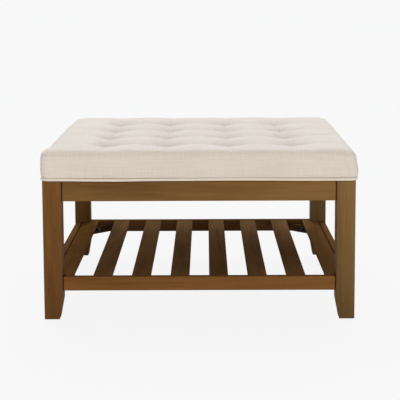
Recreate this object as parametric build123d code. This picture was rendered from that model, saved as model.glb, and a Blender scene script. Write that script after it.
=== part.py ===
from build123d import *
import math
import os

# Ottoman coffee table: a square tufted cushion on a wooden frame with a slatted lower shelf.
# Millimetres. X runs to the right, Y runs to the back and Z runs up.
# The origin is on the floor, in the middle of the footprint.

# Frame, over the outer faces of the legs
frame_width = 800.0
frame_depth = 800.0
frame_height = 364.0

# Legs
leg_side = 48.0
leg_edge_radius = 1.5
foot_taper_height = 52.0
foot_taper_inset = 9.0
glide_height = 1.5
glide_radius = 10.0
glide_pin_radius = 1.5
glide_pin_length = 14.0
pin_clearance = 0.1

# Aprons and shelf rails, both set back from the outer faces of the legs
panel_thickness = 18.0
panel_recess = 3.5
panel_edge_radius = 1.0
joint_gap = 0.4
apron_height = 54.0
rail_height = 36.0
shelf_top = 112.7

# Dowels between the legs and the aprons and rails
dowel_radius = 4.0
dowel_length = 36.0
dowel_clearance = 0.05
dowel_end_space = 1.0
apron_dowel_spacing = 28.0

# Slats, which run front to back and end in stub tenons
slat_count = 8
slat_width = 49.2
slat_thickness = 7.0
slat_drop = 0.7
slat_side_gap = 2.85
slat_edge_radius = 1.0
tenon_length = 8.0
tenon_thickness = 4.0
tenon_shoulder = 5.0
tenon_clearance = 0.15
tenon_end_space = 1.0
rail_end_wood = 6.0
notch_clearance = 0.5

# Corner blocks, cut at 45 degrees between two rails or two aprons and clear of the leg's corner
block_leg_gap = 12.65
block_thickness = 22.0
shelf_block_height = 21.0
shelf_block_drop = 4.0
shelf_screw_drop = 2.0
apron_block_height = 45.0

# Hanger bolts through the blocks into the legs
bolt_radius = 4.0
bolt_hole_radius = 4.6
bolt_depth = 32.0
bolt_tip = 5.0
bolt_end = 5.0
bolt_clearance = 0.05
bolt_end_space = 1.0
washer_radius = 9.0
washer_thickness = 1.6
nut_across_flats = 13.0
nut_thickness = 6.5
nut_clearance = 0.1

# Wood screws, with the wood that is left past their tips
screw_radius = 2.0
screw_head_radius = 4.0
screw_head_height = 2.6
screw_tip = 4.0
screw_clearance = 0.05
screw_end_space = 1.0
counterbore_radius = 4.6
block_screw_share = 0.67
block_screw_sink = 9.0
block_screw_cover = 4.5
apron_screw_spacing = 22.0
board_screw_sink = 12.0
board_screw_cover = 2.3
board_screw_wall = 6.8

# Upholstered top, from the bottom up
dust_cover_thickness = 0.8
dust_cover_inset = 8.0
fabric_thickness = 1.5
hem_width = 40.0
board_thickness = 12.0
foam_height = 38.0
wadding_thickness = 8.5
soft_gap = 0.3
cushion_height = 79.0
cushion_crown = 1.5

# Outline of the cushion
skirt_overhang = 2.0
cushion_overhang = 9.0
seam_inset = 2.0
shoulder_radius = 24.0
shoulder_angles = (0, 25, 50, 75)
skirt_corner_radius = 17.0
wall_corner_radius = 24.0
top_corner_radius = 38.0
welt_radius = 3.3

# Tufts and the pillows between them
tuft_count = 4
tuft_margin = 161.5
tuft_depth = 14.0
tuft_row_depth = 10.0
valley_depth = 5.0
quilt_edge_drop = 4.0
quilt_spare_lines = 3
tuft_floor_radius = 4.0
tuft_lip_radius = 20.0
tuft_lip_height = 6.5
tuft_arc_radius = 10.0
tuft_arc_height = 4.2

# Tufting twine and the washers under the board
twine_radius = 1.0
twine_hole_radius = 1.4
knot_radius = 3.0
knot_height = 1.2
tuft_washer_radius = 10.0
tuft_washer_thickness = 1.2

# Staples along the underside
staple_width = 10.0
staple_wire = 0.6
staple_leg = 10.0
staple_clearance = 0.1
staple_count = 6
staple_line_inset = 3.5
staple_corner_space = 12.0

# One overrun for every cut
overrun = 5.0

# Places that several pieces share
half_width = frame_width / 2
half_depth = frame_depth / 2
leg_x = half_width - leg_side
leg_y = half_depth - leg_side
panel_mid_x = half_width - panel_recess - panel_thickness / 2
panel_mid_y = half_depth - panel_recess - panel_thickness / 2
inner_x = panel_mid_x - panel_thickness / 2
inner_y = panel_mid_y - panel_thickness / 2
apron_bottom = frame_height - apron_height
apron_mid = frame_height - apron_height / 2
rail_bottom = shelf_top - rail_height
rail_mid = shelf_top - rail_height / 2
slat_top = shelf_top - slat_drop
slat_bottom = slat_top - slat_thickness
block_side = 2 * (inner_x - leg_x) + math.sqrt(2) * (block_thickness + block_leg_gap)
block_screw_place = block_side * block_screw_share
block_screw_seat = block_side - block_screw_place - block_screw_sink
block_screw_length = block_screw_seat + panel_thickness - block_screw_cover
shelf_block_top = slat_bottom - shelf_block_drop
shelf_block_mid = shelf_block_top - shelf_block_height / 2
apron_block_mid = frame_height - apron_block_height / 2
hem_bottom = frame_height + dust_cover_thickness
board_bottom = hem_bottom + fabric_thickness
board_top = board_bottom + board_thickness
board_screw_seat = frame_height - apron_block_height + board_screw_sink
board_screw_length = board_top - board_screw_cover - board_screw_seat
board_screw_offset = bolt_hole_radius + counterbore_radius + board_screw_wall
foam_top = board_top + foam_height
wadding_top = foam_top + wadding_thickness
seam_height = frame_height + 2 * welt_radius + soft_gap
crest = frame_height + cushion_height
tuft_floor = crest - tuft_depth
diagonal = Vector(1, 1, 0).normalized()

corners = {"front_left": (-1, -1), "front_right": (1, -1), "back_left": (-1, 1), "back_right": (1, 1)}


def box_between(low, high):
    """A box given by its lowest and highest corners."""
    size = [top - bottom for bottom, top in zip(low, high)]
    centre = [(top + bottom) / 2 for bottom, top in zip(low, high)]
    return Pos(*centre) * Box(*size)


def rod(radius, start, direction, length):
    """A round bar that starts at a point and runs along a direction."""
    upright = Cylinder(radius, length, align=(Align.CENTER, Align.CENTER, Align.MIN))
    return Plane(origin=start, z_dir=direction) * upright


def at_corner(shape, side_x, side_y):
    """A copy of a back right shape at another corner of the table."""
    if side_x < 0:
        shape = mirror(shape, about=Plane.YZ)
    if side_y < 0:
        shape = mirror(shape, about=Plane.XZ)
    return shape


def at_all_corners(shapes):
    """Copies of back right shapes at every corner, as one flat list."""
    return [at_corner(shape, *sides) for sides in corners.values() for shape in shapes]


def solids_of(shapes):
    """One compound that holds the solids of all shapes."""
    return Compound(children=[solid for shape in shapes for solid in shape.solids()])


def write(name, shape):
    """Write one node, as a single solid where it has only one."""
    solids = shape.solids()
    export_step(solids[0] if len(solids) == 1 else Compound(children=list(solids)), f"parts/{name}.step")


def panel_heights():
    """Heights of the dowels: two in each apron and one in each shelf rail."""
    return [apron_mid - apron_dowel_spacing / 2, apron_mid + apron_dowel_spacing / 2, rail_mid]


def corner_dowels(radius, length):
    """The round bars that cross the joints of the back right leg."""
    bars = []
    for height in panel_heights():
        bars.append(rod(radius, (leg_x - length / 2, panel_mid_y, height), (1, 0, 0), length))
        bars.append(rod(radius, (panel_mid_x, leg_y - length / 2, height), (0, 1, 0), length))
    return bars


def dowel_bores():
    """The holes for the dowels of the back right leg."""
    return corner_dowels(dowel_radius + dowel_clearance, dowel_length + 2 * dowel_end_space)


def block_face_centre(height):
    """The middle of a corner block's inner face, at the back right."""
    return Vector(inner_x - block_side / 2, inner_y - block_side / 2, height)


def leg_corner_distance():
    """From a block's inner face to the leg's inner corner, along the diagonal."""
    return (leg_x - inner_x + block_side / 2) * math.sqrt(2)


def pointed_rod(radius, tip, length):
    """An upright bar whose lower end is a point, with its top at the origin."""
    shank = Pos(0, 0, -(length - tip) / 2) * Cylinder(radius, length - tip)
    point = Pos(0, 0, -(length - tip / 2)) * Cone(radius / 4, radius, tip)
    return shank + point


def hanger_bolt(height):
    """A bolt from outside the nut, through the block and into the leg's inner corner."""
    outside = washer_thickness + nut_thickness + bolt_end
    length = outside + leg_corner_distance() + bolt_depth
    start = block_face_centre(height) - diagonal * outside
    return Plane(origin=start, z_dir=-diagonal) * pointed_rod(bolt_radius, bolt_tip, length)


def bolt_hole_in_leg(height):
    """The pilot hole for a hanger bolt, from clear of the leg's corner to just past the bolt."""
    start = block_face_centre(height) + diagonal * (leg_corner_distance() - overrun)
    depth = overrun + bolt_depth + bolt_end_space
    return rod(bolt_radius + bolt_clearance, start, diagonal, depth)


def bolt_washer(height):
    """A flat washer on the block's inner face."""
    start = block_face_centre(height) - diagonal * washer_thickness
    ring = rod(washer_radius, start, diagonal, washer_thickness)
    return ring - rod(bolt_radius + nut_clearance, start - diagonal * overrun, diagonal, 3 * overrun)


def bolt_nut(height):
    """A hexagon nut on the washer."""
    start = block_face_centre(height) - diagonal * (washer_thickness + nut_thickness)
    hexagon = RegularPolygon(nut_across_flats / 2, side_count=6, major_radius=False)
    nut = Plane(origin=start, z_dir=diagonal) * extrude(hexagon, amount=nut_thickness)
    return nut - rod(bolt_radius + nut_clearance, start - diagonal * overrun, diagonal, 4 * overrun)


def wood_screw(length):
    """A screw that points down, with the underside of its head at the origin."""
    head = Cylinder(screw_head_radius, screw_head_height, align=(Align.CENTER, Align.CENTER, Align.MIN))
    slot = Pos(0, 0, screw_head_height) * Box(screw_radius / 2, screw_radius * 2, screw_head_height)
    return pointed_rod(screw_radius, screw_tip, length) + (head - slot - Rot(0, 0, 90) * slot)


def screw_hole(length):
    """The hole that a screw cuts, with its counterbore above the head's seat."""
    depth = length + screw_end_space
    bore = Cylinder(screw_radius + screw_clearance, depth, align=(Align.CENTER, Align.CENTER, Align.MAX))
    mouth = max(block_screw_sink + counterbore_radius, board_screw_sink) + overrun
    counterbore = Cylinder(counterbore_radius, mouth, align=(Align.CENTER, Align.CENTER, Align.MIN))
    return bore + counterbore


def screws_into_panels(shape, heights):
    """A screw, or its hole, at each place where a back right block is screwed to its two panels."""
    place_x = inner_x - block_screw_place
    place_y = inner_y - block_screw_place
    face_y = inner_x + inner_y - block_side - place_x
    face_x = inner_x + inner_y - block_side - place_y
    placed = []
    for height in heights:
        placed.append(Plane(origin=(place_x, face_y + block_screw_sink, height), z_dir=(0, -1, 0)) * shape)
        placed.append(Plane(origin=(face_x + block_screw_sink, place_y, height), z_dir=(-1, 0, 0)) * shape)
    return placed


def shelf_screw_heights():
    return [shelf_block_mid - shelf_screw_drop]


def apron_screw_heights():
    return [apron_block_mid - apron_screw_spacing / 2, apron_block_mid + apron_screw_spacing / 2]


def screws_into_board(shape):
    """A screw, or its hole, at each place where the back right apron block holds the board."""
    middle = block_face_centre(board_screw_seat) + diagonal * block_thickness / 2
    along = Vector(1, -1, 0).normalized() * board_screw_offset
    return [Plane(origin=middle + shift, z_dir=(0, 0, -1)) * shape for shift in (along, -along)]


def make_leg():
    """The back right leg, with tapered inner faces and its holes."""
    leg = box_between((leg_x, leg_y, glide_height), (half_width, half_depth, frame_height))
    wedge = Polyline(
        (0, foot_taper_height), (foot_taper_inset, glide_height), (foot_taper_inset, -overrun),
        (-overrun, -overrun), (-overrun, foot_taper_height), close=True,
    )
    wedge = extrude(make_face(wedge), amount=2 * leg_side)
    leg -= Plane(origin=(leg_x, half_depth + overrun, 0), x_dir=(1, 0, 0), z_dir=(0, -1, 0)) * wedge
    leg -= Plane(origin=(leg_x - leg_side, leg_y, 0), x_dir=(0, 1, 0), z_dir=(1, 0, 0)) * wedge
    rounded = [edge for edge in leg.edges() if edge.center().Z < frame_height - leg_edge_radius]
    leg = fillet(rounded, leg_edge_radius)
    for bore in dowel_bores():
        leg -= bore
    for height in (shelf_block_mid, apron_block_mid):
        leg -= bolt_hole_in_leg(height)
    pin_top = glide_height + glide_pin_length
    return leg - rod(glide_pin_radius + pin_clearance, foot_centre(), (0, 0, 1), pin_top)


def foot_centre():
    """The middle of the back right foot, on the floor."""
    reach = (leg_side - foot_taper_inset) / 2
    return (half_width - reach, half_depth - reach, 0)


def make_glide():
    """A nail-on glide under the back right foot."""
    disc = rod(glide_radius, foot_centre(), (0, 0, 1), glide_height)
    pin_top = glide_height + glide_pin_length - pin_clearance
    return disc + rod(glide_pin_radius, foot_centre(), (0, 0, 1), pin_top)


def make_panel(along_x, bottom, top, screw_heights):
    """A back or right apron or rail between two legs, with dowel and screw holes at both ends."""
    if along_x:
        reach = leg_x - joint_gap
        panel = box_between((-reach, inner_y, bottom), (reach, inner_y + panel_thickness, top))
        panel = fillet(panel.edges().filter_by(Axis.X), panel_edge_radius)
    else:
        reach = leg_y - joint_gap
        panel = box_between((inner_x, -reach, bottom), (inner_x + panel_thickness, reach, top))
        panel = fillet(panel.edges().filter_by(Axis.Y), panel_edge_radius)
    holes = dowel_bores() + screws_into_panels(screw_hole(block_screw_length), screw_heights)
    for hole in holes:
        panel -= hole
        panel -= at_corner(hole, -1, 1) if along_x else at_corner(hole, 1, -1)
    return panel


def slat_places():
    """The X place of each slat's middle."""
    reach = inner_x - slat_side_gap - slat_width / 2
    pitch = 2 * reach / (slat_count - 1)
    return [number * pitch - reach for number in range(slat_count)]


def tenon(place, clearance, end_space):
    """The core of a slat that reaches into both rails, or the mortises for it."""
    wide = slat_width / 2 - tenon_shoulder
    limit = leg_x - rail_end_wood
    left = max(place - wide, -limit) - clearance
    right = min(place + wide, limit) + clearance
    thick = tenon_thickness / 2 + clearance
    reach = inner_y + tenon_length + end_space
    middle = (slat_top + slat_bottom) / 2
    return box_between((left, -reach, middle - thick), (right, reach, middle + thick))


def make_slat(place):
    """One shelf slat with its two stub tenons, notched where it meets a leg."""
    half = slat_width / 2
    board = box_between((place - half, -inner_y, slat_bottom), (place + half, inner_y, slat_top))
    board = fillet(board.edges().filter_by(Axis.Y), slat_edge_radius)
    notch = box_between(
        (leg_x - notch_clearance, leg_y - notch_clearance, slat_bottom - overrun),
        (half_width, half_depth, slat_top + overrun),
    )
    for sides in corners.values():
        board -= at_corner(notch, *sides)
    return board + tenon(place, 0, 0)


def make_shelf_rail_with_mortises():
    """The back shelf rail, which takes the tenons of the slats."""
    rail = make_panel(True, rail_bottom, shelf_top, shelf_screw_heights())
    for place in slat_places():
        rail -= tenon(place, tenon_clearance, tenon_end_space)
    return rail


def make_block(top, height, screw_heights):
    """A corner block at the back right, with its bolt and screw holes."""
    cut = block_thickness * math.sqrt(2)
    outline = Polyline(
        (inner_x - block_side, inner_y), (inner_x, inner_y - block_side),
        (inner_x, inner_y - block_side + cut), (inner_x - block_side + cut, inner_y), close=True,
    )
    block = Pos(0, 0, top - height) * extrude(make_face(outline), amount=height)
    start = block_face_centre(top - height / 2) - diagonal * overrun
    block -= rod(bolt_hole_radius, start, diagonal, block_thickness + 2 * overrun)
    for hole in screws_into_panels(screw_hole(block_screw_length), screw_heights):
        block -= hole
    return block


def make_apron_block():
    """The upper corner block, also drilled for the screws into the board."""
    block = make_block(frame_height, apron_block_height, apron_screw_heights())
    for hole in screws_into_board(screw_hole(board_screw_length)):
        block -= hole
    return block


def rounded_outline(overhang, corner_radius):
    """A rounded rectangle that stands out past the frame by an overhang."""
    return RectangleRounded(frame_width + 2 * overhang, frame_depth + 2 * overhang, corner_radius)


def skirt(overhang, bottom, top):
    """The straight band of the cushion, around the board and behind the welt."""
    corner_radius = skirt_corner_radius + overhang - skirt_overhang
    return Pos(0, 0, bottom) * extrude(rounded_outline(overhang, corner_radius), amount=top - bottom)


def cushion_walls():
    """Drawn-in side walls with round shoulders, as one smooth loft that rises past the crest."""
    shoulder_height = crest - shoulder_radius
    wall = shoulder_height - seam_height
    side_profile = [(0, seam_inset), (wall / 4, seam_inset / 4), (wall / 2, 0), (wall * 3 / 4, 0)]
    for degrees in shoulder_angles:
        turn = math.radians(degrees)
        rise = wall + shoulder_radius * math.sin(turn)
        side_profile.append((rise, shoulder_radius * (1 - math.cos(turn))))
    sections = []
    for rise, drawn_in in side_profile:
        share = min(drawn_in / shoulder_radius, 1) if rise > wall / 2 else 0
        corner_radius = wall_corner_radius + (top_corner_radius - wall_corner_radius) * share
        outline = rounded_outline(cushion_overhang - drawn_in, corner_radius)
        sections.append(Pos(0, 0, seam_height + rise) * outline)
    lid = rounded_outline(cushion_overhang - 2 * shoulder_radius, top_corner_radius)
    sections.append(Pos(0, 0, crest + shoulder_radius) * lid)
    return loft(sections)


def tuft_line(half_size):
    """Places of the tufts along one side, from a margin inside the cushion's edge."""
    reach = half_size + cushion_overhang - tuft_margin
    return [reach * (2 * number / (tuft_count - 1) - 1) for number in range(tuft_count)]


def quilt_lines(half_size):
    """Places of the loft's stations: both edges, each tuft and the middle of each pillow."""
    edge = half_size + cushion_overhang + overrun
    stops = [-edge] + tuft_line(half_size) + [edge]
    lines = [(stops[0], "edge")]
    for before, after in zip(stops, stops[1:]):
        lines.append(((before + after) / 2, "pillow"))
        lines.append((after, "edge" if after == stops[-1] else "tuft"))
    return lines


def quilt_height(kind_x, kind_y, place_x, place_y):
    """Height of the quilted top where a line of one kind crosses a line of another."""
    kinds = {kind_x, kind_y}
    if kinds == {"tuft"}:
        drop = tuft_row_depth
    elif kinds == {"edge"}:
        drop = 2 * quilt_edge_drop
    elif "tuft" in kinds:
        drop = valley_depth + (quilt_edge_drop if "edge" in kinds else 0)
    else:
        drop = quilt_edge_drop if "edge" in kinds else 0
    crown_x = max(1 - (place_x / (half_width + cushion_overhang)) ** 2, 0)
    crown_y = max(1 - (place_y / (half_depth + cushion_overhang)) ** 2, 0)
    return crest - drop + cushion_crown * crown_x * crown_y


def quilt_section(place_y, kind_y):
    """One upright section of the quilted top: a flat base, two sides and one arc for each pillow."""
    lines = quilt_lines(half_width)
    points = [(place, quilt_height(kind, kind_y, place, place_y)) for place, kind in lines]
    bottom = frame_height - overrun
    edges = []
    for start, middle, end in zip(points[::2], points[1::2], points[2::2]):
        edges.append(ThreePointArc(start, middle, end))
    first, last = points[0], points[-1]
    edges.append(Line(last, (last[0], bottom)))
    edges.append(Line((last[0], bottom), (first[0], bottom)))
    edges.append(Line((first[0], bottom), first))
    section = make_face(edges)
    return Plane(origin=(0, place_y, 0), x_dir=(1, 0, 0), z_dir=(0, -1, 0)) * section


def quilt_slab():
    """The pillows and valleys of the top, lofted from front to back and on past both edges."""
    lines = quilt_lines(half_depth)
    pitch = lines[-1][0] - lines[-2][0]
    for _ in range(quilt_spare_lines):
        lines.append((lines[-1][0] + pitch, "edge"))
        lines.insert(0, (lines[0][0] - pitch, "edge"))
    return loft([quilt_section(place, kind) for place, kind in lines])


def tuft_cutter():
    """The hollow of one tuft: a flat seat for the knot and a soft lip."""
    high = crest + shoulder_radius
    seat_end = (tuft_floor_radius, tuft_floor)
    lip_middle = (tuft_arc_radius, tuft_floor + tuft_arc_height)
    lip_end = (tuft_lip_radius, tuft_floor + tuft_lip_height)
    edges = [
        Line((0, tuft_floor), seat_end), ThreePointArc(seat_end, lip_middle, lip_end),
        Line(lip_end, (tuft_lip_radius, high)), Line((tuft_lip_radius, high), (0, high)),
        Line((0, high), (0, tuft_floor)),
    ]
    profile = Plane.XZ * make_face(edges)
    return revolve(profile, axis=Axis.Z)


def tuft_places():
    return [(x, y) for x in tuft_line(half_width) for y in tuft_line(half_depth)]


def at_tufts(shape):
    """A copy of a shape at each tuft."""
    return [Pos(x, y, 0) * shape for x, y in tuft_places()]


def cushion_form():
    """The tufted body above the seam."""
    return (cushion_walls() & quilt_slab()) - at_tufts(tuft_cutter())


def twine_holes():
    return at_tufts(rod(twine_hole_radius, (0, 0, frame_height - overrun), (0, 0, 1), 2 * cushion_height))


def make_cover():
    """The sewn cover: tufted top, boxed sides and a hem that turns under the board."""
    band = skirt(skirt_overhang, hem_bottom, seam_height + overrun) - staple_slots()
    cover = band + cushion_form()
    cover -= skirt(skirt_overhang - fabric_thickness, board_bottom, wadding_top + soft_gap)
    open_x = half_width + skirt_overhang - hem_width
    open_y = half_depth + skirt_overhang - hem_width
    cover -= box_between((-open_x, -open_y, frame_height), (open_x, open_y, board_bottom + overrun))
    return cover - twine_holes()


def make_wadding():
    """The soft layer over the top and sides of the foam, standing on the board."""
    overhang = skirt_overhang - fabric_thickness - soft_gap
    layer = skirt(overhang, board_top, wadding_top) - make_foam_block()
    return layer - twine_holes()


def make_foam_block():
    reach_x = half_width - wadding_thickness
    reach_y = half_depth - wadding_thickness
    return box_between((-reach_x, -reach_y, board_top), (reach_x, reach_y, foam_top))


def make_foam():
    """The foam pad on the board, pierced for the twines."""
    return make_foam_block() - twine_holes()


def make_board():
    """The board under the foam, with holes for twines, screws and staples."""
    board = skirt(skirt_overhang - fabric_thickness - soft_gap, board_bottom, board_top)
    screw_holes = at_all_corners(screws_into_board(screw_hole(board_screw_length)))
    return board - twine_holes() - screw_holes - staple_slots()


def make_dust_cover():
    """The thin cloth stapled under the board."""
    reach_x = half_width - dust_cover_inset
    reach_y = half_depth - dust_cover_inset
    cloth = box_between((-reach_x, -reach_y, frame_height), (reach_x, reach_y, hem_bottom))
    screw_holes = at_all_corners(screws_into_board(screw_hole(board_screw_length)))
    return cloth - screw_holes - staple_slots()


def make_welt():
    """The cord in its casing along the bottom seam."""
    overhang = skirt_overhang + soft_gap + welt_radius
    corner_radius = skirt_corner_radius + soft_gap + welt_radius
    path = Pos(0, 0, frame_height + welt_radius) * rounded_outline(overhang, corner_radius).wire()
    start = path @ 0
    section = Plane(origin=start, z_dir=path % 0) * Circle(welt_radius)
    return sweep(section, path=path)


def make_twine():
    """One tufting twine, with its knot in the tuft and its end in the washer."""
    bottom = board_bottom - tuft_washer_thickness
    twine = rod(twine_radius, (0, 0, bottom), (0, 0, 1), tuft_floor - bottom)
    return twine + rod(knot_radius, (0, 0, tuft_floor), (0, 0, 1), knot_height)


def make_tuft_washer():
    """The washer that holds a twine under the board."""
    bottom = board_bottom - tuft_washer_thickness
    washer = rod(tuft_washer_radius, (0, 0, bottom), (0, 0, 1), tuft_washer_thickness)
    return washer - rod(twine_hole_radius, (0, 0, bottom - overrun), (0, 0, 1), 2 * overrun)


def staple(clearance):
    """A staple driven up from under the dust cover, with its crown along X, or the slot for it."""
    wire = staple_wire / 2 + clearance
    half = staple_width / 2
    bottom = frame_height - staple_wire
    top = frame_height + staple_leg + clearance
    shape = box_between((-half - clearance, -wire, bottom), (half + clearance, wire, frame_height))
    for side in (-1, 1):
        place = side * (half - staple_wire / 2)
        shape += box_between((place - wire, -wire, bottom), (place + wire, wire, top))
    return shape


def staple_places(reach):
    """Evenly spaced places along one side, clear of the corner blocks."""
    span = reach - block_side - staple_corner_space
    return [span * (2 * number / (staple_count - 1) - 1) for number in range(staple_count)]


def at_staples(shape):
    """A copy of a staple, or its slot, at each place under the board."""
    placed = []
    for side in (-1, 1):
        for place in staple_places(inner_x):
            placed.append(Pos(place, side * (inner_y - staple_line_inset), 0) * shape)
        for place in staple_places(inner_y):
            placed.append(Pos(side * (inner_x - staple_line_inset), place, 0) * Rot(0, 0, 90) * shape)
    return placed


def staple_slots():
    return at_staples(staple(staple_clearance))


os.makedirs("parts", exist_ok=True)

leg = make_leg()
shelf_block = make_block(shelf_block_top, shelf_block_height, shelf_screw_heights())
apron_block = make_apron_block()
for corner, sides in corners.items():
    write(f"leg_{corner}", at_corner(leg, *sides))
    write(f"shelf_block_{corner}", at_corner(shelf_block, *sides))
    write(f"apron_block_{corner}", at_corner(apron_block, *sides))

apron_back = make_panel(True, apron_bottom, frame_height, apron_screw_heights())
apron_right = make_panel(False, apron_bottom, frame_height, apron_screw_heights())
rail_back = make_shelf_rail_with_mortises()
rail_right = make_panel(False, rail_bottom, shelf_top, shelf_screw_heights())
write("apron_back", apron_back)
write("apron_front", at_corner(apron_back, 1, -1))
write("apron_right", apron_right)
write("apron_left", at_corner(apron_right, -1, 1))
write("shelf_rail_back", rail_back)
write("shelf_rail_front", at_corner(rail_back, 1, -1))
write("shelf_rail_right", rail_right)
write("shelf_rail_left", at_corner(rail_right, -1, 1))

for number, place in enumerate(slat_places(), start=1):
    write(f"shelf_slat_{number}", make_slat(place))

write("dowels", solids_of(at_all_corners(corner_dowels(dowel_radius, dowel_length))))
bolt_heights = (shelf_block_mid, apron_block_mid)
write("hanger_bolts", solids_of(at_all_corners([hanger_bolt(height) for height in bolt_heights])))
write("bolt_washers", solids_of(at_all_corners([bolt_washer(height) for height in bolt_heights])))
write("bolt_nuts", solids_of(at_all_corners([bolt_nut(height) for height in bolt_heights])))
block_screw = wood_screw(block_screw_length)
block_screws = screws_into_panels(block_screw, shelf_screw_heights() + apron_screw_heights())
write("block_screws", solids_of(at_all_corners(block_screws)))
write("board_screws", solids_of(at_all_corners(screws_into_board(wood_screw(board_screw_length)))))
write("foot_glides", solids_of(at_all_corners([make_glide()])))

write("dust_cover", make_dust_cover())
write("staples", solids_of(at_staples(staple(0))))
write("top_board", make_board())
write("foam_pad", make_foam())
write("wadding", make_wadding())
write("cushion_cover", make_cover())
write("welt", make_welt())
write("tuft_twines", solids_of(at_tufts(make_twine())))
write("tuft_washers", solids_of(at_tufts(make_tuft_washer())))
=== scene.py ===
import bmesh
import bpy
import math
from mathutils import Matrix, Vector, noise


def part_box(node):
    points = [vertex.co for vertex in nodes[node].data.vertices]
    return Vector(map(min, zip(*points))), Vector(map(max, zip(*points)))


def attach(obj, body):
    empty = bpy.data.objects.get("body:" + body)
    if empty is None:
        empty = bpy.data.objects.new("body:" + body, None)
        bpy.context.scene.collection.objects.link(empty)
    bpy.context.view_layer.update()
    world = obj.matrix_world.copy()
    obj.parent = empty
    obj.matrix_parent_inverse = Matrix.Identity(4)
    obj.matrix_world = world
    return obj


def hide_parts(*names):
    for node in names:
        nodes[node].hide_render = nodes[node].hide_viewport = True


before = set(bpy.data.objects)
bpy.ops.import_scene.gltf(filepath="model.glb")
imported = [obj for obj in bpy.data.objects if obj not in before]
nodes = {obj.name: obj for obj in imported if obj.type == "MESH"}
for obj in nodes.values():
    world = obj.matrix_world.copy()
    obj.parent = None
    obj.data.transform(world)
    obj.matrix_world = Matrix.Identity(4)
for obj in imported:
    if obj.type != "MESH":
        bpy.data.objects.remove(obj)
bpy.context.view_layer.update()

# Camera: place, angles in radians, lens and sensor in millimetres, shift as a share of the frame
camera_place = (0.01751, -3.41199, 0.83600)
camera_yaw = -0.00469
camera_pitch = 0.12178
camera_roll = -0.0043
camera_lens = 107.70
camera_sensor = 36.0
camera_shift = -0.15

# Room
floor_reach = 60.0
background_grey = 248
floor_albedo = 0.86
floor_calm_share = 0.93
floor_calm_grey = 250
sky_strength = 0.32
sky_tint = (0.97, 1.0, 1.07)
sun_table = (
    # name, strength, tint, and in degrees: angle of its disc, tilt from straight down, and the heading it
    # comes from, clockwise from the back
    ("back_light", 2.12, (0.96, 1.0, 1.08), 50.0, 49.0, -4.0),
    ("front_light", 1.66, (1.035, 0.995, 0.92), 60.0, 78.0, 170.0),
)

# Cushion outline
half = 0.409
top_half = 0.385
shoulder = 0.024
crest = 0.443
crown = 0.0015
back_rise = 0.0012
back_rise_reach = 0.24
wall_corner = 0.024
top_corner = 0.038
least_corner = 0.002
seam_height = 0.3709
cloth_thickness = 0.0015
top_cells = 208

# The wall's rings, and how its lower end is taken in towards the seam
wall_step = 0.0039
wall_end_steps = (0.0012, 0.0004, 0)
seam_tuck = 0.002
tuck_share = 0.5
wall_end = 0.006
wall_end_tuck = 0.0016

# Hem: in behind the welt, down the board's edge and in under it
skirt_half = 0.402
skirt_corner = 0.017
seam_in = 0.0028
seam_falls = (0.0001, 0.0004, 0.003)
hem_height = 0.3648
hem_width = 0.040
hem_ease_in = 0.0006
hem_ease_up = 0.0008
hem_border = 0.012

# Tufts: the even lines, and the place of each drawn column in its front row and in its back row.
# A valley with a narrow crease runs along each line, and each tuft is a pit in a wider dish.
tuft_lines = (-0.2475, -0.0825, 0.0825, 0.2475)
tuft_half_pitch = 0.0825
tuft_columns = ((-0.2450, -0.2400), (-0.0872, -0.0886), (0.0735, 0.0735), (0.2365, 0.2262))
valley_depth = 0.0045
valley_power = 2.0
valley_fades = {
    # side: how far past the last tuft the valleys fade, and the share of their depth that stays
    "left": (0.065, 0.05), "right": (0.1375, 0.35), "front": (0.1375, 0.25), "back": (0.1375, 0.25),
}
crease_depth = 0.0022
crease_tuft_depth = 0.0040
crease_width = 0.016
crease_power = 1.15
tuft_pull_power = 2.0
pit_depth = 0.0046
pit_reach = 0.017
pit_power = 1.3
dish_depth = 0.0065
dish_reach = 0.048
right_ease_share = 0.18
edge_drop = 0.0014

# Puckers round each tuft, turned a little from tuft to tuft, with a limit to how far they rise between
pucker_depth = 0.0011
pucker_reach = 0.030
pucker_count = 7
pucker_turns = (9, 5)
pucker_rise_share = 0.4

# Pleats from the outer tufts over the edge
pleat_depth = 0.0018
pleat_width = 0.0032
pleat_start = 0.318
pleat_run = 0.03

# Painted shade down in the tufts and folds: a darker tone by height, inside the top's edges
fold_shade_heights = (0.424, 0.4415)
fold_shade_share = 0.135
fold_shade_edges = (0.33, 0.375)

# Small unevenness of the stuffed cloth, and how it is scaled on the wall
lump_size = 0.085
lump_height = 0.0009
crease_size = 0.021
crease_height = 0.00022
wall_lump_share = 1.1
wall_lump_scales = (1.7, 1.7, 3)

# How far the slack stuffed sides lean in: low on the wall, and at the shoulder from the front to the back
left_low_lean = 0.0033
right_low_lean = 0.0001
left_leans = (
    (-0.409, 0.0038), (-0.335, 0.0062), (-0.275, 0.0090), (-0.15, 0.0078), (0.0, 0.0066),
    (0.16, 0.0060), (0.30, 0.0072), (0.409, 0.0092),
)
right_leans = (
    (-0.409, 0.0074), (-0.25, 0.0058), (-0.10, 0.0050), (0.0, 0.0042), (0.12, 0.0026), (0.409, 0.0018),
)
lean_start = 0.28
left_lean_heights = (0.402, 0.418)
right_lean_heights = (0.379, 0.420)

# The front left corner's ear, where the corner is stuffed out to its edge: full over a first length
# from the front, then falling off
ear_out = 0.0036
ear_full = 0.064
ear_fall = 0.06
ear_bottom = 0.424
ear_rise = 0.012

# Boxing seam, with the places of the rings that round its groove
boxing_seam_down = 0.0263
boxing_seam_depth = 0.0010
boxing_seam_width = 0.0016
seam_ring_shares = (-1.5, -0.8, -0.35, 0, 0.35, 0.8, 1.5)
seam_clear_share = 2.2

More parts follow.
